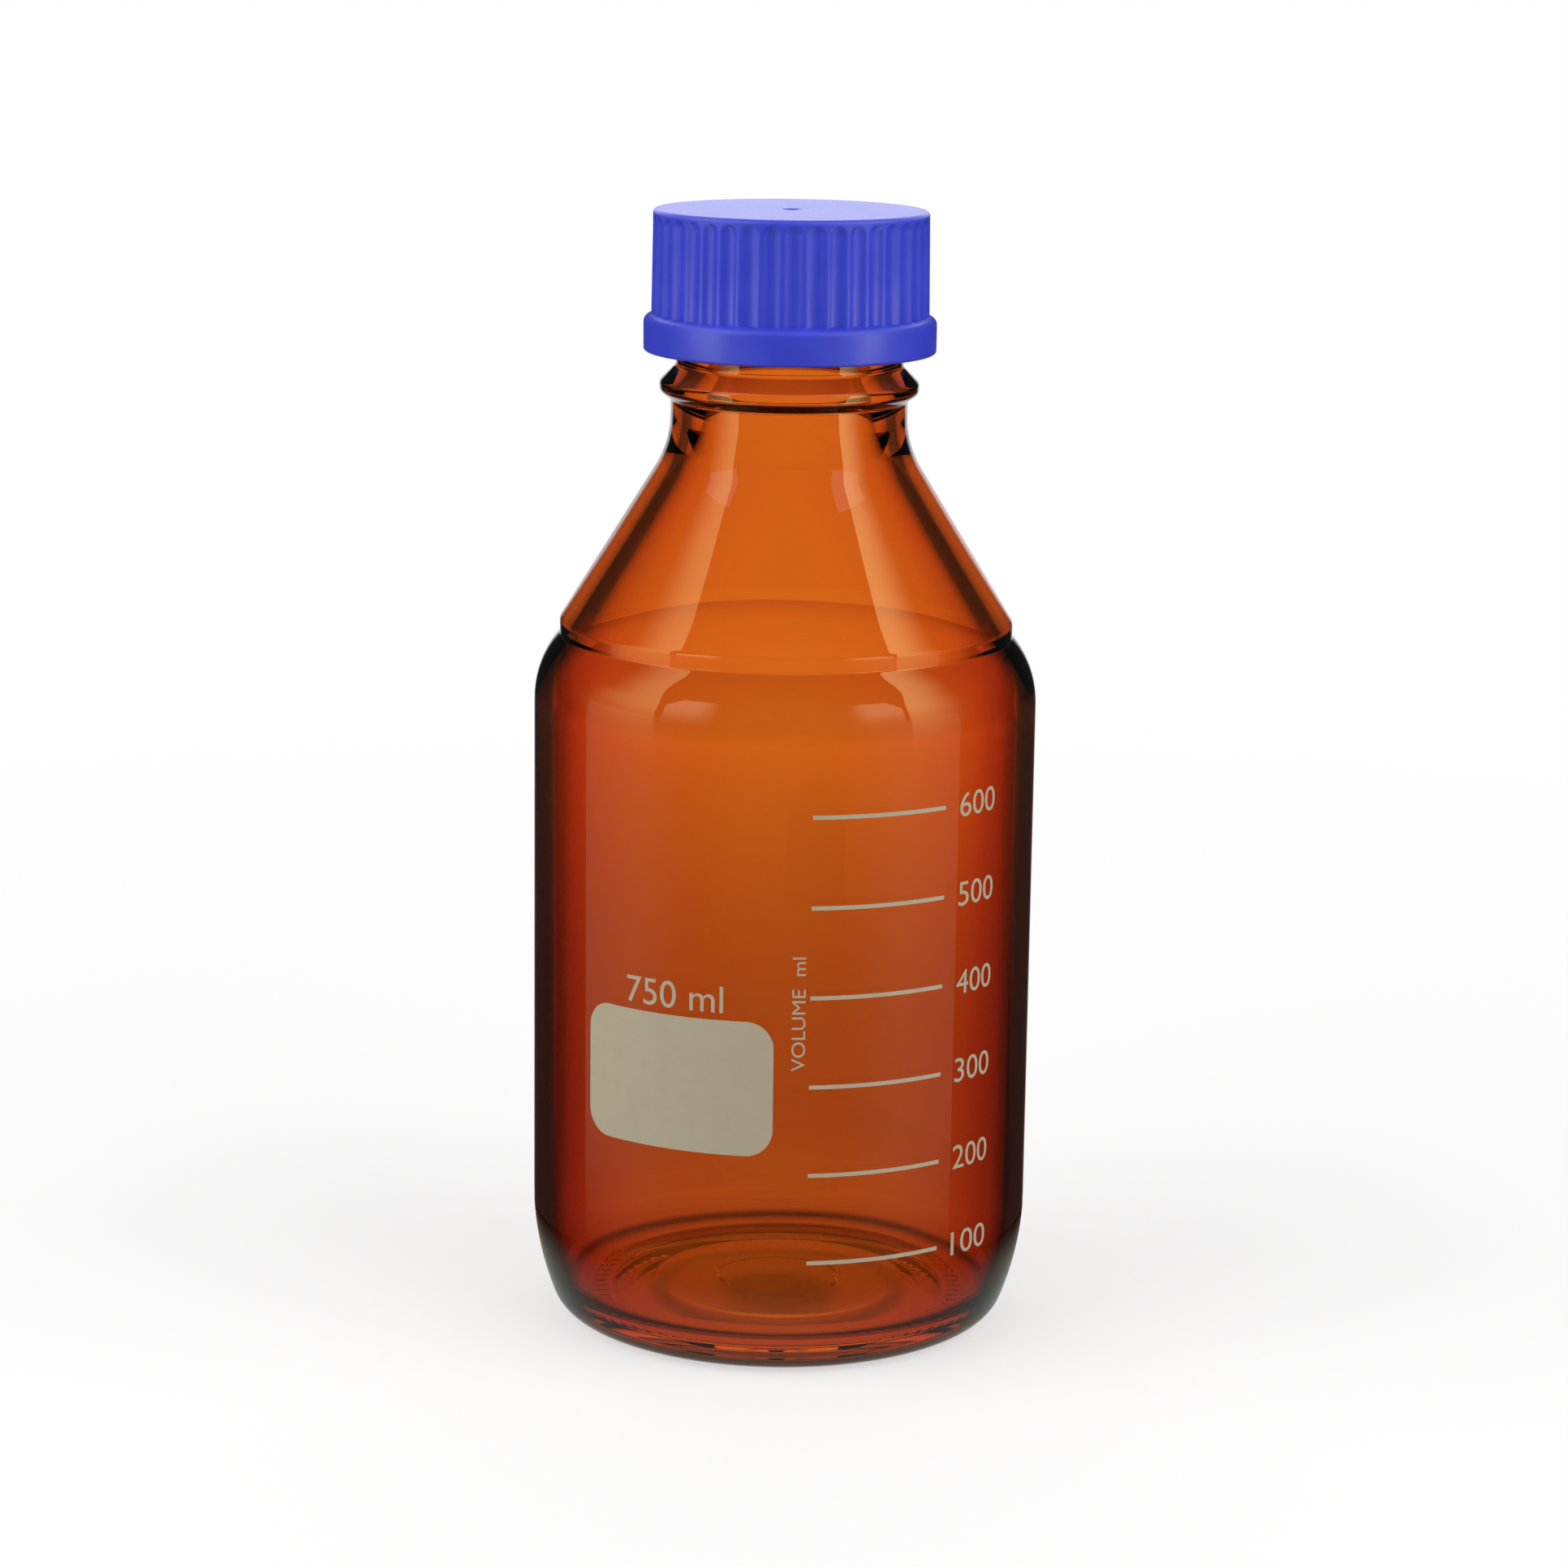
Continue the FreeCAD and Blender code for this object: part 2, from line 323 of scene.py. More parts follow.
        # Painted shade at the heel: dark brown below the heel heights, outside the heel radii.
        outer = add(tree, "ShaderNodeMapRange", {
            "Value": radius.outputs["Value"],
            "From Min": self.heel_radii[0] * MM,
            "From Max": self.heel_radii[1] * MM,
        })
        heel_shade = add(tree, "ShaderNodeMapRange", {
            "Value": height,
            "From Min": self.heel_heights[1] * MM,
            "From Max": self.heel_heights[0] * MM,
            "To Max": outer.outputs["Result"],
        }, interpolation_type="SMOOTHSTEP")
        colour = add(tree, "ShaderNodeMixRGB", {
            "Fac": heel_shade.outputs["Result"],
            "Color1": wall.outputs["Color"],
            "Color2": linear(self.heel_colour),
        })
        return colour.outputs["Color"]


@dataclass(frozen=True)
class MouldedPolypropylene(Finish):
    """Polypropylene, injection moulded in a finely eroded tool.

    The eye sees one strong pigment colour with a satin sheen, a fine even grain that breaks the highlights,
    faint paler flow marks and a waxy depth at the thin edges. Lengths are in millimetres.
    """

    name: str = "blue_polypropylene_moulded"
    colour: str = "#3641CA"
    flow_colour: str = "#3C47D0"
    flow_shares: Span = (0.35, 0.65)
    flow_length: float = 9.0
    grain: float = 0.45
    grain_height: float = 0.012
    roughness: float = 0.36
    roughness_spread: float = 0.08
    refraction: float = 1.49
    shine: float = 0.4
    glow: float = 0.06
    glow_depth: float = 0.8

    def shader(self, tree: bpy.types.NodeTree) -> bpy.types.NodeSocket:
        """Build the plastic from its flow marks, its grain and its sheen.

        Args:
            tree: The material's empty node tree.

        Returns:
            The socket of the finished shader.
        """
        place = add(tree, "ShaderNodeTexCoord").outputs["Object"]
        flow = add(tree, "ShaderNodeTexNoise", {
            "Vector": place,
            "Scale": 1 / (self.flow_length * MM),
            "Detail": 2.0,
        })
        grain = add(tree, "ShaderNodeTexNoise", {
            "Vector": place,
            "Scale": 1 / (self.grain * MM),
            "Detail": 1.0,
        })
        pigment = add(tree, "ShaderNodeValToRGB", {"Fac": flow.outputs["Fac"]}, (
            (self.flow_shares[0], self.colour),
            (self.flow_shares[1], self.flow_colour),
        ))
        sheen = add(tree, "ShaderNodeMapRange", {
            "Value": grain.outputs["Fac"],
            "To Min": self.roughness - self.roughness_spread,
            "To Max": self.roughness + self.roughness_spread,
        })
        skin = add(tree, "ShaderNodeBump", {
            "Height": grain.outputs["Fac"],
            "Strength": 1.0,
            "Distance": self.grain_height * MM,
        })
        shader = add(tree, "ShaderNodeBsdfPrincipled", {
            "Base Color": pigment.outputs["Color"],
            "Roughness": sheen.outputs["Result"],
            "IOR": self.refraction,
            "Specular IOR Level": self.shine,
            "Subsurface Weight": self.glow,
            "Subsurface Radius": (1.0, 1.0, 1.0),
            "Subsurface Scale": self.glow_depth * MM,
            "Normal": skin.outputs["Normal"],
        })
        return shader.outputs["BSDF"]


@dataclass(frozen=True)
class FiredEnamel(Finish):
    """Ceramic enamel, screen printed and fired into the glass.

    A dull warm grey that covers the amber, a little uneven where the screen laid it down, with a dry
    surface that takes a pencil. Lengths are in millimetres.
    """

    name: str = "grey_enamel_screen_printed"
    colour: str = "#B7AB91"
    thin_colour: str = "#B4A88D"
    cover_shares: Span = (0.3, 0.6)
    patch_length: float = 2.5
    grain: float = 0.3
    grain_height: float = 0.01
    roughness: float = 0.62
    refraction: float = 1.5

    def shader(self, tree: bpy.types.NodeTree) -> bpy.types.NodeSocket:
        """Build the print from its uneven cover and its dry grain.

        Args:
            tree: The material's empty node tree.

        Returns:
            The socket of the finished shader.
        """
        place = add(tree, "ShaderNodeTexCoord").outputs["Object"]
        patches = add(tree, "ShaderNodeTexNoise", {
            "Vector": place,
            "Scale": 1 / (self.patch_length * MM),
            "Detail": 4.0,
        })
        grain = add(tree, "ShaderNodeTexNoise", {
            "Vector": place,
            "Scale": 1 / (self.grain * MM),
            "Detail": 1.0,
        })
        cover = add(tree, "ShaderNodeValToRGB", {"Fac": patches.outputs["Fac"]}, (
            (self.cover_shares[0], self.thin_colour),
            (self.cover_shares[1], self.colour),
        ))
        skin = add(tree, "ShaderNodeBump", {
            "Height": grain.outputs["Fac"],
            "Strength": 1.0,
            "Distance": self.grain_height * MM,
        })
        shader = add(tree, "ShaderNodeBsdfPrincipled", {
            "Base Color": cover.outputs["Color"],
            "Roughness": self.roughness,
            "IOR": self.refraction,
            "Normal": skin.outputs["Normal"],
        })
        return shader.outputs["BSDF"]


@dataclass(frozen=True)
class PaintedBoard(Finish):
    """Pale paint, rolled on a board.

    The eye sees a dull near-white that keeps a shadow and runs out into the white of the surround. Through
    the bottle it shows painted light and painted shadow in rings round the axis, for the light that the
    glass lets down on it. Lengths are in metres.
    """

    name: str = "pale_painted_board"
    colour: str = "#B6B6B6"
    lift: float = 0.56
    ring_width: float = 0.1
    # Painted light and painted shadow under the glass: dark in the middle, bright round it, with a dimmer
    # ring.
    rings: Stops = (
        (0.0, "#44427C"), (0.09, "#44427C"), (0.13, "#A690CC"), (0.2, "#A690CC"), (0.22, "#7C7CAC"),
        (0.24, "#7C7CAC"), (0.26, "#C0A8E0"), (0.45, "#C0A8E0"), (0.6, "#BEAADC"), (1.0, "#BEAADC"),
    )
    white_distances: Span = (0.15, 0.65)

    def shader(self, tree: bpy.types.NodeTree) -> bpy.types.NodeSocket:
        """Build the board from its paint, the painted rings of light and shadow and the white it runs out
        into.

        Args:
            tree: The material's empty node tree.

        Returns:
            The socket of the finished shader.
        """
        place = add(tree, "ShaderNodeTexCoord").outputs["Object"]
        distance = add(tree, "ShaderNodeVectorMath", {0: place}, operation="LENGTH").outputs["Value"]
        paint = add(tree, "ShaderNodeBsdfDiffuse", {"Color": linear(self.colour)})
        near = seen(tree, Ray.CAMERA, Ray.GLOSSY)
        lift = add(tree, "ShaderNodeMath", {0: near, 1: self.lift}, operation="MULTIPLY")
        glow = add(tree, "ShaderNodeEmission", {"Strength": lift.outputs["Value"]})
        bare = add(tree, "ShaderNodeAddShader", {0: paint.outputs["BSDF"], 1: glow.outputs["Emission"]})
        # Rays through the glass see the painted rings of light and shadow instead of the lit paint.
        share = add(tree, "ShaderNodeMath", {0: distance, 1: self.ring_width}, operation="DIVIDE")
        rings = add(tree, "ShaderNodeValToRGB", {"Fac": share.outputs["Value"]}, self.rings)
        through = add(tree, "ShaderNodeEmission", {"Color": rings.outputs["Color"]})
        board = add(tree, "ShaderNodeMixShader", {
            0: seen(tree, Ray.THROUGH),
            1: bare.outputs["Shader"],
            2: through.outputs["Emission"],
        })
        run_out = add(tree, "ShaderNodeMapRange", {
            "Value": distance,
            "From Min": self.white_distances[0],
            "From Max": self.white_distances[1],
        }, interpolation_type="SMOOTHSTEP")
        shown = seen(tree, Ray.CAMERA, Ray.GLOSSY, Ray.THROUGH)
        far = add(tree, "ShaderNodeMath", {0: run_out.outputs["Result"], 1: shown}, operation="MULTIPLY")
        white = add(tree, "ShaderNodeEmission", {"Strength": 1.0})
        whole = add(tree, "ShaderNodeMixShader", {
            0: far.outputs["Value"],
            1: board.outputs["Shader"],
            2: white.outputs["Emission"],
        })
        return whole.outputs["Shader"]


@dataclass(frozen=True)
class LitCloth(Finish):
    """Studio cloth, lit evenly from behind, that can run out to black at one end and at its foot.

    level is its brightness, where 1 is white. fade is the share of its width over which its end runs out,
    and foot the share of its height over which it comes up. Where it blocks, it hides what is behind it, and
    otherwise it adds its light to that. hem keeps either share from being nothing.
    """

    colour: str = "#FFFFFF"
    level: float = 1.0
    fade: float = 0.0
    foot: float = 0.0
    blocks: bool = False
    hem: float = 0.001

    def shader(self, tree: bpy.types.NodeTree) -> bpy.types.NodeSocket:
        """Build the cloth's light over its own width and height.

        Args:
            tree: The material's empty node tree.

        Returns:
            The socket of the finished shader.
        """
        unrolled = add(tree, "ShaderNodeTexCoord").outputs["UV"]
        place = add(tree, "ShaderNodeSeparateXYZ", {"Vector": unrolled})
        begun = add(tree, "ShaderNodeMapRange", {
            "Value": place.outputs["Y"],
            "From Min": -self.hem,
            "From Max": self.foot,
            "To Max": self.level,
        }, interpolation_type="SMOOTHSTEP")
        strength = add(tree, "ShaderNodeMapRange", {
            "Value": place.outputs["X"],
            "From Min": 1.0 + self.hem,
            "From Max": 1.0 - self.fade,
            "To Max": begun.outputs["Result"],
        }, interpolation_type="SMOOTHSTEP")
        glow = add(tree, "ShaderNodeEmission", {
            "Color": linear(self.colour),
            "Strength": strength.outputs["Result"],
        })
        behind = add(tree, "ShaderNodeBsdfTransparent", {
            "Color": linear("#000000" if self.blocks else "#FFFFFF"),
        })
        both = add(tree, "ShaderNodeAddShader", {0: glow.outputs["Emission"], 1: behind.outputs["BSDF"]})
        return both.outputs["Shader"]


@dataclass(frozen=True)
class Corner:
    """A corner of an outline beside the axis.

    rounding is the radius of the arc that takes the corner off, and rows is the number of steps that the
    straight run to the next corner is cut into.
    """

    radius: float
    height: float
    rounding: float = 0.0
    rows: int = 1

    def place(self) -> Vector:
        """The corner as a point of the XZ plane."""
        return Vector((self.radius, 0.0, self.height))


def rounded(before: Vector, corner: Corner, after: Vector) -> list[Vector]:
    """Draw the arc that rounds one corner, tangent to both of its sides.

    Args:
        before: The place of the corner before this one.
        corner: The corner.
        after: The place of the corner after this one.

    Returns:
        The points of the arc in order, or the corner alone where it stays sharp.
    """
    point = corner.place()
    if not corner.rounding:
        return [point]
    back = (before - point).normalized()
    ahead = (after - point).normalized()
    turn = math.pi - back.angle(ahead)
    reach = corner.rounding * math.tan(turn / 2)
    centre = point + (back + ahead).normalized() * corner.rounding / math.cos(turn / 2)
    start = point + back * reach - centre
    steps = max(2, math.ceil(turn / ARC_STEP), math.ceil(turn * corner.rounding / ARC_LENGTH))
    hinge = back.cross(ahead).normalized()
    return [centre + Matrix.Rotation(-turn * i / steps, 3, hinge) @ start for i in range(steps + 1)]


def outline(corners: Sequence[Corner], closed: bool = False) -> list[Vector]:
    """Draw an outline through corners.

    Args:
        corners: The corners in order. The two ends of an open outline stay sharp.
        closed: Whether the outline comes back to its first corner.

    Returns:
        The points of the outline in the XZ plane.
    """
    count = len(corners)
    arcs = []
    for i, corner in enumerate(corners):
        end = not closed and i in (0, count - 1)
        before, after = corners[i - 1].place(), corners[(i + 1) % count].place()
        arcs.append([corner.place()] if end else rounded(before, corner, after))
    points = []
    for i, corner in enumerate(corners):
        points += arcs[i]
        if closed or i + 1 < count:
            start, stop = arcs[i][-1], arcs[(i + 1) % count][0]
            points += [start.lerp(stop, row / corner.rows) for row in range(1, corner.rows)]
    return points


def turned(points: Sequence[Vector], doublings: int, sector_steps: int, closed: bool = False,
           mask: tuple[str, int] | None = None) -> bmesh.types.BMesh:
    """Spin an outline round the axis into a skin.

    One sector is spun, and then doubled until it goes right round.

    Args:
        points: The points of the outline in the XZ plane.
        doublings: How many times the sector is doubled.
        sector_steps: The number of steps in the sector.
        closed: Whether the last point joins the first.
        mask: The name of a mask over the skin, and the number of first points that it covers.

    Returns:
        The skin, with its seams and poles closed and its faces outwards.
    """
    bm = bmesh.new()
    name, covered = mask or ("", 0)
    layer = bm.verts.layers.float.new(name) if mask else None
    verts = [bm.verts.new(point) for point in points]
    for vert in verts[:covered]:
        vert[layer] = 1.0
    pairs = zip(verts, verts[1:] + verts[:1] if closed else verts[1:])
    edges = [bm.edges.new(pair) for pair in pairs]
    sector = math.tau / 2 ** doublings
    bmesh.ops.spin(bm, geom=verts + edges, cent=ORIGIN, axis=AXIS, angle=sector, steps=sector_steps)
    for i in range(doublings):
        copied = bmesh.ops.duplicate(bm, geom=bm.verts[:] + bm.edges[:] + bm.faces[:])["geom"]
        moved = [item for item in copied if isinstance(item, bmesh.types.BMVert)]
        bmesh.ops.rotate(bm, verts=moved, cent=ORIGIN, matrix=Matrix.Rotation(sector * 2 ** i, 3, "Z"))
    bmesh.ops.remove_doubles(bm, verts=bm.verts, dist=WELD)
    bmesh.ops.recalc_face_normals(bm, faces=bm.faces)
    return bm


def finished(bm: bmesh.types.BMesh, name: str, crease: float) -> bpy.types.Object:
    """Bring a mesh from millimetres to metres and make it an object at the origin.

    Args:
        bm: The mesh, which is used up.
        name: The name of the object and of its mesh.
        crease: The angle in degrees past which an edge stays sharp.

    Returns:
        The new object, in the scene and still bare.
    """
    bmesh.ops.scale(bm, vec=(MM, MM, MM), verts=bm.verts)
    mesh = bpy.data.meshes.new(name)
    bm.to_mesh(mesh)
    bm.free()
    mesh.shade_smooth()
    mesh.set_sharp_from_angle(angle=math.radians(crease))
    piece = bpy.data.objects.new(name, mesh)
    bpy.context.scene.collection.objects.link(piece)
    return piece


def seat(piece: bpy.types.Object, finish: Finish, body: Body, slot: Slot, *nodes: str) -> None:
    """Give a piece its finish and make it part of the object.

    Args:
        piece: The bare piece.
        finish: Its finish.
        body: The body that it moves with.
        slot: The record's slot for its finish; not used.
        *nodes: The solids that it stands for.
    """
    piece.data.materials.append(finish.material())
    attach(piece, body.value)
    if nodes:
        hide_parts(*nodes)


def polar(point: Vector) -> tuple[float, float]:
    """The angle round the axis and the distance from it."""
    return math.atan2(point.y, point.x), math.hypot(point.x, point.y)


def moved_outwards(point: Vector, distance: float) -> Vector:
    """The point, moved square to the axis by a distance."""
    out = Vector((point.x, point.y, 0.0)).normalized()
    return point + out * distance


@dataclass(frozen=True)
class Thread:
    """A right-hand thread rib on a round wall, in millimetres and turns.

    The rib's middle is at start_height where turn 0 passes the +X axis, and run_out is the part of a turn
    over which each end dies away.
    """

    pitch: float
    start_height: float
    first_turn: float
    last_turn: float
    foot_half_width: float
    crest_half_width: float
    run_out: float = 0.12

    def share(self, point: Vector) -> float:
        """Work out how much of its depth the rib has at a point of the wall.

        Args:
            point: The point of the plain wall.

        Returns:
            A share from 0, beside the rib, to 1, on its crest.
        """
        angle, _ = polar(point)
        height = (point.z - self.start_height) / self.pitch
        turn = angle / math.tau
        turn += round(height - turn)
        off = abs(height - turn) * self.pitch
        flank = (self.foot_half_width - off) / (self.foot_half_width - self.crest_half_width)
        ends = min(turn - self.first_turn, self.last_turn - turn) / self.run_out
        return smooth(flank) * smooth(ends)


class SubAssembly(ABC):
    """Pieces of the object that are made together and have one finish."""

    finish: Finish

    @abstractmethod
    def build(self) -> list[bpy.types.Object]:
        """Build the bare pieces at their places."""

    @abstractmethod
    def dress(self, piece: bpy.types.Object) -> None:
        """Give one of the bare pieces its finish and its seat on the part."""


@dataclass
class GlassBottle(SubAssembly):
    """The bottle: one blown piece of glass with its threaded neck. Sizes are in millimetres.

    A pair of heights or of roundings goes from the lower corner to the upper one.
    """

    finish: StainedGlass = StainedGlass()
    radius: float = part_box("glass_bottle")[1].x / MM - PRINT_ROOM
    mouth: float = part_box("glass_bottle")[1].z / MM
    wall: float = 3.2
    mark_radius: float = 11.0
    mark_depth: float = 0.5
    push_up_radius: float = 23.1
    push_up_rise: float = 2.6
    push_up_blend: float = 4.0
    bearing_radius: float = 31.7
    heel_inset: float = 5.2
    heel_height: float = 14.3
    heel_roundings: Span = (6.4, 55.0)
    shoulder_height: float = 125.3
    shoulder_rounding: float = 18.5
    ridge_inset: float = 4.7
    ridge_heights: Span = (130.9, 133.6)
    ridge_roundings: Span = (0.6, 2.0)
    neck_radius: float = 21.9
    neck_heights: Span = (166.5, 174.7)
    neck_roundings: Span = (18.5, 0.8)
    bead_radius: float = 24.0
    bead_heights: Span = (176.2, 178.0)
    bead_rounding: float = 1.3
    thread_root: float = 21.0
    thread_heights: Span = (181.0, 198.2)
    thread_depth: float = 1.3
    thread: Thread = Thread(
        pitch=4.0,
        start_height=187.0,
        first_turn=0.0,
        last_turn=2.3,
        foot_half_width=1.35,
        crest_half_width=0.5,
    )
    seat_radius: float = 19.6
    seat_height: float = 199.0
    retainer_proud: float = 0.4
    retainer_height: float = 2.7
    retainer_slope: float = 0.5
    mouth_bore: float = 15.0
    rim_rounding: float = 1.2
    inner_neck_height: float = 171.56
    inner_neck_rounding: float = 24.0
    inner_shoulder_height: float = 125.13
    inner_shoulder_rounding: float = 20.0
    inner_heel_radius: float = 40.1
    inner_heel_height: float = 12.9
    inner_heel_roundings: Span = (9.0, 55.0)
    floor_height: float = 4.0
    crown_height: float = 6.2
    crown_blend: float = 30.0
    stipples: int = 80
    stipple_depth: float = 0.15
    stipple_band: Span = (32.6, 36.6)
    stipple_end: float = 0.5
    unevenness: float = 0.22
    streak_width: float = 22.0
    streak_length: float = 60.0
    even_neck: float = 8.0
    even_heights: Span = (12.0, 22.0)
    doublings: int = 5
    sector_steps: int = 10
    bearing_rows: int = 14
    thread_rows: int = 56
    inner_cone_rows: int = 8
    inner_body_rows: int = 24
    crease: float = 40.0

    def outside(self) -> list[Corner]:
        """Lay out the outer skin.

        Returns:
            The corners from the middle of the underside up to the inner edge of the rim.
        """
        mark_top = self.push_up_rise + self.mark_depth
        ridge = self.radius - self.ridge_inset
        retainer = self.seat_radius + self.retainer_proud
        retainer_foot = self.mouth - self.retainer_height
        underside = [
            Corner(0.0, mark_top),
            Corner(self.mark_radius, mark_top),
            Corner(self.mark_radius + self.mark_depth, self.push_up_rise),
            Corner(self.push_up_radius, self.push_up_rise, self.push_up_blend),
            Corner(self.bearing_radius, 0.0, self.push_up_blend, self.bearing_rows),
        ]
        side = [
            Corner(self.radius - self.heel_inset, 0.0, self.heel_roundings[0]),
            Corner(self.radius, self.heel_height, self.heel_roundings[1]),
            Corner(self.radius, self.shoulder_height, self.shoulder_rounding),
            Corner(ridge, self.ridge_heights[0], self.ridge_roundings[0]),
            Corner(ridge, self.ridge_heights[1], self.ridge_roundings[1]),
            Corner(self.neck_radius, self.neck_heights[0], self.neck_roundings[0]),
            Corner(self.neck_radius, self.neck_heights[1], self.neck_roundings[1]),
            Corner(self.bead_radius, self.bead_heights[0], self.bead_rounding),
            Corner(self.bead_radius, self.bead_heights[1], self.bead_rounding),
        ]
        neck = [
            Corner(self.thread_root, self.thread_heights[0], self.bead_rounding, self.thread_rows),
            Corner(self.thread_root, self.thread_heights[1]),
            Corner(self.seat_radius, self.seat_height),
            Corner(self.seat_radius, retainer_foot - self.retainer_slope),
            Corner(retainer, retainer_foot),
            Corner(retainer, self.mouth, self.rim_rounding),
            Corner(self.mouth_bore, self.mouth, self.rim_rounding),
        ]
        return underside + side + neck

    def inside(self) -> list[Corner]:
        """Lay out the inner skin.

        Returns:
            The corners from the neck down to the middle of the floor.
        """
        inner = self.radius - self.wall
        floor_rounding, heel_blend = self.inner_heel_roundings
        return [
            Corner(self.mouth_bore, self.inner_neck_height, self.inner_neck_rounding, self.inner_cone_rows),
            Corner(inner, self.inner_shoulder_height, self.inner_shoulder_rounding, self.inner_body_rows),
            Corner(inner, self.inner_heel_height, heel_blend),
            Corner(self.inner_heel_radius, self.floor_height, floor_rounding),
            Corner(self.push_up_radius, self.crown_height, self.crown_blend),
            Corner(0.0, self.crown_height),
        ]

    def uneven(self, point: Vector) -> Vector:
        """Move a point of the inner skin to where the blown wall lies.

        Args:
            point: The point of the turned skin.

        Returns:
            The point on the uneven wall, which is true at the neck and at the floor.
        """
        _, radius = polar(point)
        low, high = self.even_heights
        depth = self.unevenness * smooth((radius - self.mouth_bore) / self.even_neck)
        depth *= smooth((point.z - low) / (high - low))
        width, length = self.streak_width, self.streak_length
        streak = Vector((point.x / width, point.y / width, point.z / length))
        return moved_outwards(point, depth * noise.noise(streak))

    def shaped(self, point: Vector) -> Vector:
        """Move a point of the outer skin to where the moulded glass lies.

        Args:
            point: The point of the turned skin.

        Returns:
            The point with the thread or the stippling.
        """
        angle, radius = polar(point)
        low, high = self.stipple_band
        if abs(radius - self.thread_root) < NEAR and point.z > self.thread_heights[0]:
            return moved_outwards(point, self.thread_depth * self.thread.share(point))
        if point.z < NEAR and low < radius < high:
            dash = max(0.0, math.cos(self.stipples * angle))
            ends = smooth((radius - low) / self.stipple_end) * smooth((high - radius) / self.stipple_end)
            return point + AXIS * (self.stipple_depth * dash * ends)
        return point

    def build(self) -> list[bpy.types.Object]:
        """Turn the wall and shape both of its skins.

        Returns:
            The bare glass.
        """
        outside, inside = self.outside(), self.inside()
        points = outline(outside + inside)
        stained = len(points) - len(outline(outside[-2:] + inside)) + 1
        bm = turned(points, self.doublings, self.sector_steps, mask=(self.finish.mask, stained))
        layer = bm.verts.layers.float[self.finish.mask]
        for vert in bm.verts:
            vert.co = self.shaped(vert.co) if vert[layer] > 0.5 else self.uneven(vert.co)
        return [finished(bm, "bottle_glass", self.crease)]

    def dress(self, piece: bpy.types.Object) -> None:
        """Give the glass its stain and painted edge shade, and seat it in place of the solid."""
        seat(piece, self.finish, Body.BOTTLE, Slot.GLASS, "glass_bottle")


@dataclass
class PouringRing(SubAssembly):
    """The ring that is clipped over the mouth, with its flared pouring lip. Sizes are in millimetres."""

    finish: MouldedPolypropylene = MouldedPolypropylene()
    mouth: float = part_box("glass_bottle")[1].z / MM
    top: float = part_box("pouring_ring")[1].z / MM
    foot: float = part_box("pouring_ring")[0].z / MM
    bore: float = 15.3
    skirt_bore: float = 20.15
    skirt_radius: float = 20.92
    snap_bore: float = 19.75
    snap_heights: Span = (200.6, 202.2)
    snap_slope: float = 0.4
    flange: float = 1.0
    edge_rounding: float = 0.4
    lip_foot: float = 18.6
    lip_radii: Span = (18.0, 17.4)
    lip_rounding: float = 0.2
    doublings: int = 4
    sector_steps: int = 16
    crease: float = 30.0

    def corners(self) -> list[Corner]:
        """Lay out the ring.

        Returns:
            The corners of the closed outline, from the lower edge of the bore.
        """
        flange_top = self.mouth + self.flange
        return [
            Corner(self.bore, self.mouth),
            Corner(self.skirt_bore, self.mouth),
            Corner(self.skirt_bore, self.snap_heights[1] + self.snap_slope),
            Corner(self.snap_bore, self.snap_heights[1]),
            Corner(self.snap_bore, self.snap_heights[0]),
            Corner(self.skirt_bore, self.snap_heights[0] - self.snap_slope),
            Corner(self.skirt_bore, self.foot),
            Corner(self.skirt_radius, self.foot, self.edge_rounding),
            Corner(self.skirt_radius, flange_top, self.edge_rounding),
            Corner(self.lip_foot, flange_top, self.edge_rounding),
            Corner(self.lip_radii[0], self.top, self.lip_rounding),
            Corner(self.lip_radii[1], self.top, self.lip_rounding),
        ]

    def build(self) -> list[bpy.types.Object]:
        """Turn the ring."""
        bm = turned(outline(self.corners(), closed=True), self.doublings, self.sector_steps, closed=True)
        return [finished(bm, "pouring_ring_moulding", self.crease)]

    def dress(self, piece: bpy.types.Object) -> None:
        """Give the ring its plastic and seat it in place of the solid."""
        seat(piece, self.finish, Body.RING, Slot.PLASTIC, "pouring_ring")


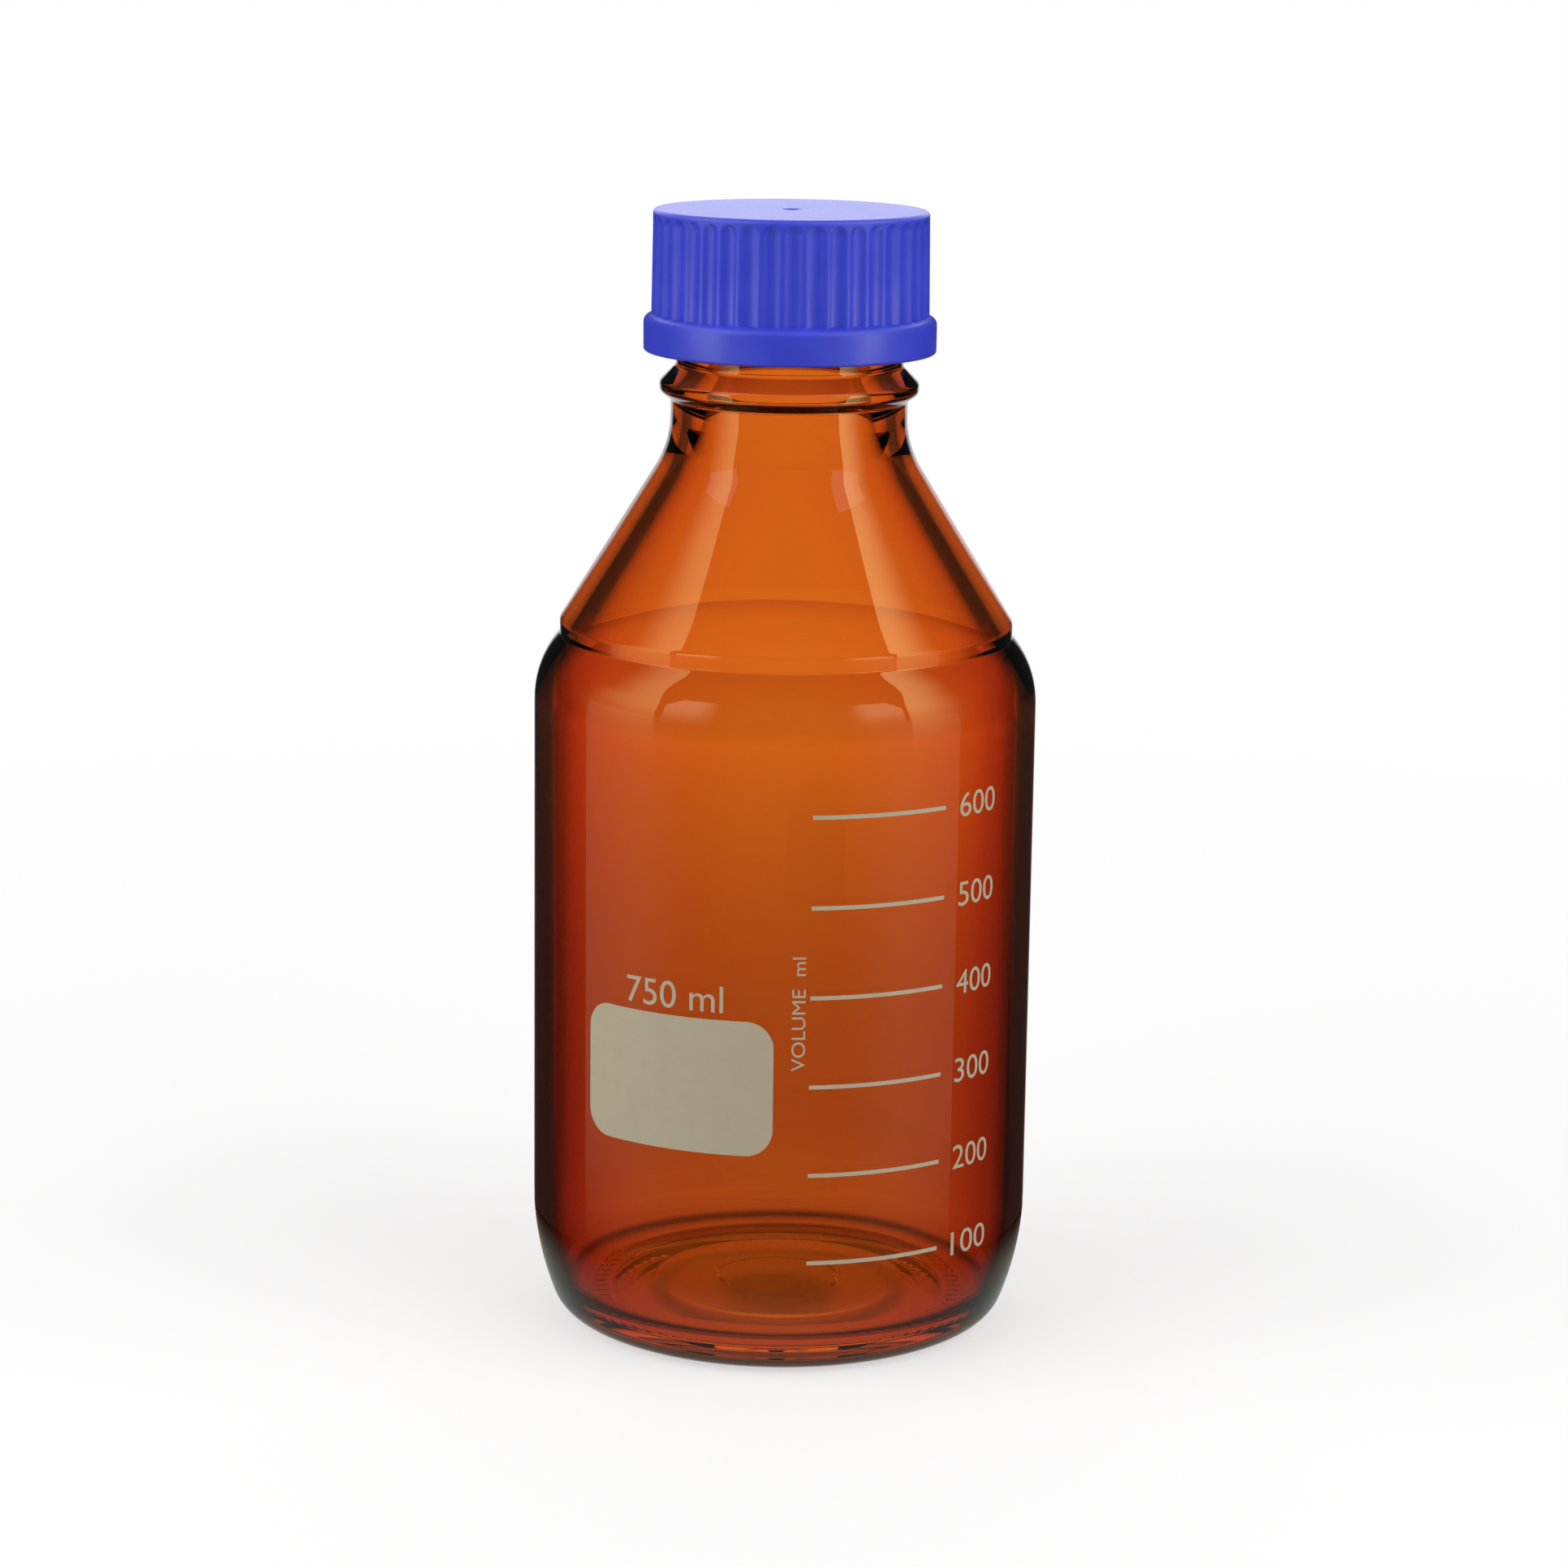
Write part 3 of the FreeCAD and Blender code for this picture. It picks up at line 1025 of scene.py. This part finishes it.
@dataclass
class ScrewCap(SubAssembly):
    """The cap: a fluted, slightly tapered skirt over a plain collar, threaded inside.

    Sizes are in millimetres, and the heights of the thread and of the collar are above the foot. The radii
    of the lip that seals go from its outer root, round its edge, to its inner root.
    """

    finish: MouldedPolypropylene = MouldedPolypropylene()
    top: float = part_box("screw_cap")[1].z / MM - TOP_ROOM
    foot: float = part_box("screw_cap")[0].z / MM
    collar_radius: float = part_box("screw_cap")[1].x / MM
    collar_height: float = 6.9
    collar_slope: float = 0.8
    collar_roundings: Span = (0.6, 1.4)
    collar_bore: float = 24.4
    collar_bore_height: float = 4.3
    collar_bore_rounding: float = 0.2
    skirt_foot: float = 25.62
    skirt_top: float = 25.35
    skirt_step: float = 0.02
    nose_height: float = 3.0
    top_rounding: float = 0.8
    plate: float = 2.0
    gate_radius: float = 1.4
    gate_depth: float = 0.4
    gate_rounding: float = 0.15
    bore: float = 22.75
    bore_rounding: float = 0.8
    thread_heights: Span = (5.95, 18.0)
    thread_depth: float = 1.4
    thread: Thread = Thread(
        pitch=4.0,
        start_height=185.0,
        first_turn=1.45,
        last_turn=3.5,
        foot_half_width=1.3,
        crest_half_width=0.5,
    )
    lip_radii: tuple[float, float, float, float] = (17.25, 15.7, 15.2, 14.45)
    lip_depth: float = 1.4
    lip_rounding: float = 0.15
    flutes: int = 40
    flute_start: float = 1.1
    flute_depth: float = 0.62
    flute_ridge: float = 0.7
    flute_margin: float = 1.1
    flute_reach: float = 0.9
    edge_softness: float = 0.12
    doublings: int = 3
    steps_per_flute: int = 12
    top_rows: int = 3
    nose_rows: int = 22
    skirt_rows: int = 3
    thread_rows: int = 40
    crease: float = 40.0

    @property
    def collar_top(self) -> float:
        """The height at which the skirt stands on the collar."""
        return self.foot + self.collar_height

    @property
    def underside(self) -> float:
        """The height of the flat underside of the cap's top."""
        return self.top - self.plate

    def outside(self) -> list[Corner]:
        """Lay out the outer skin.

        Returns:
            The corners from the middle of the top down to the foot of the collar.
        """
        slope = (self.skirt_foot - self.skirt_top) / (self.top - self.collar_top)
        nose_radius = self.skirt_top + slope * self.nose_height
        gate_floor = self.top - self.gate_depth
        foot_rounding, shoulder_rounding = self.collar_roundings
        return [
            Corner(0.0, gate_floor),
            Corner(self.gate_radius, gate_floor, self.gate_rounding),
            Corner(self.gate_radius + self.gate_depth, self.top, self.gate_rounding, self.top_rows),
            Corner(self.skirt_top, self.top, self.top_rounding, self.nose_rows),
            Corner(nose_radius, self.top - self.nose_height, rows=self.skirt_rows),
            Corner(self.skirt_foot, self.collar_top + self.skirt_step),
            Corner(self.skirt_foot, self.collar_top),
            Corner(self.collar_radius, self.collar_top - self.collar_slope, shoulder_rounding),
            Corner(self.collar_radius, self.foot, foot_rounding),
        ]

    def inside(self) -> list[Corner]:
        """Lay out the inner skin.

        Returns:
            The corners from the foot of the collar up to the middle of the underside.
        """
        thread_foot, thread_end = self.thread_heights
        lip_foot = self.underside - self.lip_depth
        return [
            Corner(self.collar_bore, self.foot, self.collar_bore_rounding),
            Corner(self.collar_bore, self.foot + self.collar_bore_height, self.collar_bore_rounding),
            Corner(self.bore, self.foot + thread_foot, rows=self.thread_rows),
            Corner(self.bore, self.foot + thread_end),
            Corner(self.bore, self.underside, self.bore_rounding),
            Corner(self.lip_radii[0], self.underside),
            Corner(self.lip_radii[1], lip_foot, self.lip_rounding),
            Corner(self.lip_radii[2], lip_foot, self.lip_rounding),
            Corner(self.lip_radii[3], self.underside),
            Corner(0.0, self.underside),
        ]

    def flute(self, point: Vector) -> float:
        """Work out how deep the round-nosed flutes cut the skirt.

        Args:
            point: The point of the plain skirt.

        Returns:
            The depth of the cut there.
        """
        angle, radius = polar(point)
        pitch = math.tau / self.flutes
        start = math.radians(self.flute_start)
        off = (angle - start + pitch / 2) % pitch - pitch / 2
        half_width = radius * math.sin(pitch / 2) - self.flute_ridge / 2
        cutter = (half_width ** 2 + self.flute_depth ** 2) / (2 * self.flute_depth)
        nose = self.top - self.flute_margin - half_width
        beyond = max(0.0, point.z - nose)
        axis_radius = radius + cutter - self.flute_depth
        across = axis_radius * math.sin(off)
        room = cutter ** 2 - across ** 2 - beyond ** 2
        if room <= 0:
            return 0.0
        return self.softened(radius - (axis_radius * math.cos(off) - math.sqrt(room)))

    def softened(self, cut: float) -> float:
        """Ease the edge where a cut begins, as a mould leaves it.

        Args:
            cut: The depth of the sharp cut, which is below 0 outside it.

        Returns:
            The depth of the eased cut.
        """
        soft = self.edge_softness
        if cut >= soft:
            return cut
        if cut <= -soft:
            return 0.0
        return (cut + soft) ** 2 / (4 * soft)

    def shaped(self, point: Vector) -> Vector:
        """Move a point of the plain turned skin to where the moulded cap lies.

        Args:
            point: The point of the turned skin.

        Returns:
            The point with the flutes or the thread.
        """
        _, radius = polar(point)
        fluted = point.z > self.collar_top + self.skirt_step / 2
        if fluted and radius > self.skirt_top - self.flute_reach:
            return moved_outwards(point, -self.flute(point))
        if abs(radius - self.bore) < NEAR:
            return moved_outwards(point, -self.thread_depth * self.thread.share(point))
        return point

    def build(self) -> list[bpy.types.Object]:
        """Turn the cap and cut its flutes and its thread.

        Returns:
            The bare cap.
        """
        steps = self.flutes * self.steps_per_flute // 2 ** self.doublings
        bm = turned(outline(self.outside() + self.inside()), self.doublings, steps)
        for vert in bm.verts:
            vert.co = self.shaped(vert.co)
        return [finished(bm, "screw_cap_moulding", self.crease)]

    def dress(self, piece: bpy.types.Object) -> None:
        """Give the cap its plastic and seat it in place of the solid."""
        seat(piece, self.finish, Body.CAP, Slot.PLASTIC, "screw_cap")


@dataclass
class GlassPrint(SubAssembly):
    """The fired print on the front of the glass: writing field, volume and scale.

    Places are degrees round the front from -Y towards +X. Heights and other lengths are in millimetres.
    """

    radius: float
    finish: FiredEnamel = FiredEnamel()
    thickness: float = 0.04
    sunk: float = 0.01
    strip: float = 1.0
    lines: int = 6
    line_volume: int = 100
    first_line: float = 23.0
    line_step: float = 16.576
    line_width: float = 0.75
    line_angles: Span = (6.4, 38.4)
    number_angles: Span = (42.7, 54.7)
    number_height: float = 4.5
    field_angles: Span = (-47.8, -1.5)
    field_heights: Span = (43.1, 68.2)
    field_corner: float = 5.0
    corner_steps: int = 10
    volume: str = "750 ml"
    volume_angles: Span = (-36.5, -12.8)
    volume_heights: Span = (69.5, 74.5)
    legend: str = "VOLUME  ml"
    legend_angles: Span = (2.4, 5.4)
    legend_heights: Span = (59.2, 80.3)
    crease: float = 30.0

    def along(self, angle: float) -> float:
        """The distance round the girth at an angle."""
        return math.radians(angle) * self.radius

    def panel(self, angles: Span, heights: Span, corner: float = 0.0) -> bmesh.types.BMesh:
        """Draw a flat panel.

        Args:
            angles: Its left and right edge.
            heights: Its lower and upper edge.
            corner: The radius of its corners, or 0 for sharp ones.

        Returns:
            The flat panel, in millimetres along the girth and upwards.
        """
        left, right = map(self.along, angles)
        low, high = heights
        corners = ((left, low), (right, low), (right, high), (left, high))
        bm = bmesh.new()
        bm.faces.new([bm.verts.new((x, y, 0.0)) for x, y in corners])
        if corner:
            bmesh.ops.bevel(
                bm,
                geom=bm.verts[:],
                offset=corner,
                affect="VERTICES",
                segments=self.corner_steps,
                profile=0.5,
                material=-1,
            )
        return bm

    def lettering(self, text: str, angles: Span, heights: Span, upwards: bool = False) -> bmesh.types.BMesh:
        """Draw flat letters that fill a box.

        Args:
            text: The letters.
            angles: The left and right edge of the box.
            heights: The lower and upper edge of the box.
            upwards: Whether the letters run up the bottle.

        Returns:
            The flat letters, in millimetres along the girth and upwards.
        """
        curve = bpy.data.curves.new(text, "FONT")
        curve.body = text
        holder = bpy.data.objects.new(text, curve)
        mesh = bpy.data.meshes.new_from_object(holder)
        bm = bmesh.new()
        bm.from_mesh(mesh)
        bpy.data.objects.remove(holder)
        bpy.data.curves.remove(curve)
        bpy.data.meshes.remove(mesh)
        bmesh.ops.remove_doubles(bm, verts=bm.verts, dist=HAIR)
        if upwards:
            bmesh.ops.rotate(bm, verts=bm.verts, cent=ORIGIN, matrix=Matrix.Rotation(math.pi / 2, 3, "Z"))
        lows = [min(vert.co[i] for vert in bm.verts) for i in range(2)]
        highs = [max(vert.co[i] for vert in bm.verts) for i in range(2)]
        left, right = map(self.along, angles)
        wide = (right - left) / (highs[0] - lows[0])
        tall = (heights[1] - heights[0]) / (highs[1] - lows[1])
        bmesh.ops.translate(bm, verts=bm.verts, vec=(-lows[0], -lows[1], 0.0))
        bmesh.ops.scale(bm, verts=bm.verts, vec=(wide, tall, 1.0))
        bmesh.ops.translate(bm, verts=bm.verts, vec=(left, heights[0], 0.0))
        return bm

    def wrap(self, bm: bmesh.types.BMesh) -> None:
        """Cut a flat layer into strips, give it its thickness and bend it round the glass.

        Args:
            bm: The flat layer, which is changed.
        """
        lowest = min(vert.co.x for vert in bm.verts)
        highest = max(vert.co.x for vert in bm.verts)
        for i in range(1, math.ceil((highest - lowest) / self.strip)):
            geom = bm.verts[:] + bm.edges[:] + bm.faces[:]
            place = (lowest + i * self.strip, 0.0, 0.0)
            bmesh.ops.bisect_plane(bm, geom=geom, dist=HAIR, plane_co=place, plane_no=(1.0, 0.0, 0.0))
        bmesh.ops.recalc_face_normals(bm, faces=bm.faces)
        if sum(face.normal.z for face in bm.faces) < 0:
            bmesh.ops.reverse_faces(bm, faces=bm.faces)
        raised = bmesh.ops.extrude_face_region(bm, geom=bm.faces[:], use_keep_orig=True)["geom"]
        upper = [item for item in raised if isinstance(item, bmesh.types.BMVert)]
        bmesh.ops.translate(bm, verts=upper, vec=(0.0, 0.0, self.thickness))
        for vert in bm.verts:
            angle = vert.co.x / self.radius
            out = self.radius - self.sunk + vert.co.z
            vert.co = Vector((out * math.sin(angle), -out * math.cos(angle), vert.co.y))
        bmesh.ops.recalc_face_normals(bm, faces=bm.faces)

    def layers(self) -> Iterator[tuple[str, bmesh.types.BMesh]]:
        """Draw the flat layers of the print, one after the other.

        Returns:
            The name of each piece with its flat layer.
        """
        yield "writing_field", self.panel(self.field_angles, self.field_heights, self.field_corner)
        yield "volume_mark", self.lettering(self.volume, self.volume_angles, self.volume_heights)
        legend = self.lettering(self.legend, self.legend_angles, self.legend_heights, upwards=True)
        yield "scale_legend", legend
        for i in range(self.lines):
            volume = self.line_volume * (i + 1)
            middle = self.first_line + i * self.line_step
            edges = (middle - self.line_width / 2, middle + self.line_width / 2)
            ends = (middle - self.number_height / 2, middle + self.number_height / 2)
            yield f"scale_line_{volume}", self.panel(self.line_angles, edges)
            yield f"scale_number_{volume}", self.lettering(str(volume), self.number_angles, ends)

    def build(self) -> list[bpy.types.Object]:
        """Wrap every layer round the glass.

        Returns:
            The bare pieces of the print.
        """
        pieces = []
        for name, bm in self.layers():
            self.wrap(bm)
            pieces.append(finished(bm, name, self.crease))
        return pieces

    def dress(self, piece: bpy.types.Object) -> None:
        """Give a piece of the print its enamel and seat it on the bottle."""
        seat(piece, self.finish, Body.BOTTLE, Slot.ENAMEL)


@dataclass(frozen=True)
class Screen:
    """A bent screen beside the bottle that only reflections show.

    profile has the radius and the height of each row from the foot, in metres. spans has the degrees from
    -Y towards +X at which each row begins and ends, or one pair for all rows.
    """

    name: str
    profile: Rows
    spans: Rows
    finish: LitCloth
    steps: int = 96
    crease: float = 60.0
    hidden_from: tuple[str, ...] = ("camera", "diffuse", "transmission", "volume_scatter", "shadow")

    def build(self) -> None:
        """Bend a grid into the screen and put it in the scene."""
        bm = bmesh.new()
        bm.loops.layers.uv.verify()
        last = len(self.profile) - 1
        bmesh.ops.create_grid(bm, x_segments=self.steps, y_segments=last, size=1.0, calc_uvs=True)
        for vert in bm.verts:
            row = round((vert.co.y + 1) / 2 * last)
            radius, height = self.profile[row]
            begin, end = self.spans[row % len(self.spans)]
            angle = math.radians(begin + (end - begin) * (vert.co.x + 1) / 2)
            vert.co = Vector((radius * math.sin(angle), -radius * math.cos(angle), height)) / MM
        piece = finished(bm, self.name, self.crease)
        piece.data.materials.append(self.finish.material())
        for kind in self.hidden_from:
            setattr(piece, f"visible_{kind}", False)


@dataclass(frozen=True)
class CardPair:
    """Two bright cards of one profile, left and right of the bottle.

    sides has the spans of the left and of the right card. There is one cloth for both, or one for each.
    """

    name: str
    profile: Rows
    sides: tuple[Rows, Rows]
    cloths: tuple[LitCloth, ...]

    def screens(self) -> list[Screen]:
        """Lay out the two cards.

        Returns:
            The left card and the right card.
        """
        return [
            Screen(f"{self.name}_{i + 1}", self.profile, spans, self.cloths[i % len(self.cloths)])
            for i, spans in enumerate(self.sides)
        ]


@dataclass(frozen=True)
class SoftBox:
    """A soft lamp that looks at the bottle.

    Angles are degrees, round the bottle from -Y towards +X and up from the floor. Lengths are in metres,
    and the power is in watts.
    """

    name: str
    azimuth: float
    elevation: float
    power: float
    size: Span
    distance: float = 1.2
    aim_height: float = 0.1

    def build(self) -> None:
        """Stand the lamp, out of sight of the camera and of the glass."""
        light = bpy.data.lights.new(self.name, "AREA")
        light.shape = "RECTANGLE"
        light.size, light.size_y = self.size
        light.energy = self.power
        holder = bpy.data.objects.new(self.name, light)
        round_by, up_by = math.radians(self.azimuth), math.radians(self.elevation)
        flat = math.cos(up_by)
        out = Vector((math.sin(round_by) * flat, -math.cos(round_by) * flat, math.sin(up_by)))
        holder.location = AXIS * self.aim_height + out * self.distance
        holder.rotation_euler = out.to_track_quat("Z", "Y").to_euler()
        holder.visible_camera = False
        holder.visible_transmission = False
        bpy.context.scene.collection.objects.link(holder)


@dataclass(frozen=True)
class PhotoCamera:
    """The camera of the photograph, whose frame is square.

    Its place is in metres, its angles are in degrees, and its lens and sensor in millimetres.
    """

    name: str = "photo_camera"
    place: tuple[float, float, float] = (0.0, -0.78712, 0.27160)
    pitch: float = 12.167
    roll: float = 0.770
    focal_length: float = 98.19
    sensor: float = 36.0

    def build(self) -> None:
        """Stand the camera and look through it."""
        data = bpy.data.cameras.new(self.name)
        data.sensor_width = self.sensor
        data.lens = self.focal_length
        holder = bpy.data.objects.new(self.name, data)
        tilt = Matrix.Rotation(math.radians(90 - self.pitch), 3, "X")
        roll = Matrix.Rotation(math.radians(self.roll), 3, "Z")
        holder.location = self.place
        holder.rotation_euler = (tilt @ roll).to_euler()
        bpy.context.scene.collection.objects.link(holder)
        bpy.context.scene.camera = holder


@dataclass
class Studio:
    """The white surround, the pale floor, the screens that the glass reflects, the lamps and the camera.

    Lengths are in metres. The tube and the mat keep the reflections dark, and the cards light them again
    where the photograph has its bright strips.
    """

    fill: float = 0.34
    board: PaintedBoard = PaintedBoard()
    floor_size: float = 8.0
    floor_drop: float = 0.00005
    floor_crease: float = 30.0
    tube: Screen = Screen(
        "dark_tube",
        profile=((0.085, 0.0), (0.085, 0.15), (0.05, 0.1825), (0.05, 0.2095)),
        spans=((0.0, 360.0),),
        finish=LitCloth("black_cloth_dim", level=0.02, blocks=True),
    )
    mat: Screen = Screen(
        "grey_mat",
        profile=((0.085, -0.00002), (0.04, -0.00002)),
        spans=((0.0, 360.0),),
        finish=LitCloth("grey_cloth_lit", "#E2EADF", level=0.5, foot=1.0, blocks=True),
    )
    cards: tuple[CardPair, ...] = (
        CardPair(
            "back_card",
            profile=((0.0845, 0.0), (0.0845, 0.15), (0.0495, 0.1825)),
            sides=(((-158.0, -132.0),), ((158.0, 132.0),)),
            cloths=(LitCloth("white_cloth_back_lit", level=0.85, fade=0.35),),
        ),
        CardPair(
            "card",
            profile=((0.084, 0.0), (0.084, 0.13)),
            sides=(((-75.6, -26.0),), ((63.5, 17.0),)),
            cloths=(LitCloth("cream_cloth_side_lit", "#FFF4C4", level=0.5, fade=0.6, foot=0.3),),
        ),
        CardPair(
            "upper_card",
            profile=((0.0835, 0.105), (0.0835, 0.1285), (0.0835, 0.142), (0.0835, 0.15), (0.0765, 0.1555),
                     (0.0655, 0.166), (0.058, 0.173), (0.049, 0.1825), (0.049, 0.195)),
            sides=(
                ((-44.0, -78.0), (-45.0, -84.0), (-45.0, -80.0), (-46.0, -72.0), (-45.0, -69.0),
                 (-41.0, -66.0), (-41.0, -66.0), (-42.0, -66.0), (-44.0, -67.0)),
                ((43.0, 66.0), (43.0, 70.0), (43.0, 70.0), (44.0, 68.0), (44.0, 67.0),
                 (41.0, 64.0), (41.0, 64.0), (42.0, 64.0), (44.0, 65.0)),
            ),
            cloths=(
                LitCloth("cream_cloth_upper_left_lit", "#FFF4A8", level=3.0, fade=0.92, foot=0.27),
                LitCloth("cream_cloth_upper_right_lit", "#FFF4A8", level=4.2, fade=0.92, foot=0.27),
            ),
        ),
        CardPair(
            "glint",
            profile=((0.0825, 0.124), (0.0825, 0.142), (0.0825, 0.15)),
            sides=(
                ((-42.0, -21.0), (-42.0, -21.0), (-36.0, -22.0)),
                ((41.0, 20.0), (41.0, 20.0), (36.0, 21.0)),
            ),
            cloths=(LitCloth("cream_cloth_glint_lit", "#FFF4C4", level=2.6, fade=0.5, foot=0.5),),
        ),
        CardPair(
            "cap_card",
            profile=((0.0485, 0.1825), (0.0485, 0.2095)),
            sides=(((-61.0, -39.0),), ((33.0, 55.0),)),
            cloths=(LitCloth("white_cloth_cap_lit", level=0.85),),
        ),
    )
    lamps: tuple[SoftBox, ...] = (
        SoftBox("left_box", azimuth=-66.0, elevation=28.0, power=11.0, size=(1.3, 1.5)),
        SoftBox("right_box", azimuth=60.0, elevation=28.0, power=11.0, size=(1.3, 1.5)),
        SoftBox("back_box", azimuth=180.0, elevation=30.0, power=3.2, size=(1.3, 0.8)),
    )
    camera: PhotoCamera = PhotoCamera()

    def surround(self) -> None:
        """Show white to the camera, the gloss and the glass, and a plain fill to the rest."""
        world = bpy.data.worlds.new("white_surround")
        world.use_nodes = True
        tree = world.node_tree
        tree.nodes.clear()
        shown = seen(tree, Ray.CAMERA, Ray.GLOSSY, Ray.THROUGH)
        strength = add(tree, "ShaderNodeMapRange", {"Value": shown, "To Min": self.fill, "To Max": 1.0})
        sky = add(tree, "ShaderNodeBackground", {
            "Color": linear("#FFFFFF"),
            "Strength": strength.outputs["Result"],
        })
        add(tree, "ShaderNodeOutputWorld", {"Surface": sky.outputs["Background"]})
        bpy.context.scene.world = world

    def floor(self) -> None:
        """Lay a wide floor that keeps the shadow, just under the bottle."""
        bm = bmesh.new()
        bmesh.ops.create_grid(bm, x_segments=1, y_segments=1, size=self.floor_size / 2 / MM)
        bmesh.ops.translate(bm, verts=bm.verts, vec=AXIS * (-self.floor_drop / MM))
        piece = finished(bm, "floor", self.floor_crease)
        piece.data.materials.append(self.board.material())

    def build(self) -> None:
        """Set up the whole studio."""
        bpy.context.scene.view_settings.view_transform = "Standard"
        self.surround()
        self.floor()
        cards = [screen for pair in self.cards for screen in pair.screens()]
        for item in (self.tube, self.mat, *cards, *self.lamps, self.camera):
            item.build()


def main() -> None:
    """Build the bottle, its ring, its cap and its print, and set them in the studio."""
    logging.basicConfig(level=logging.INFO, format="%(name)s: %(message)s")
    bottle = GlassBottle()
    for assembly in (bottle, PouringRing(), ScrewCap(), GlassPrint(bottle.radius)):
        for piece in assembly.build():
            assembly.dress(piece)
            log.info("%s: %d faces of %s", piece.name, len(piece.data.polygons), assembly.finish.name)
    Studio().build()


if __name__ == "__main__":
    main()
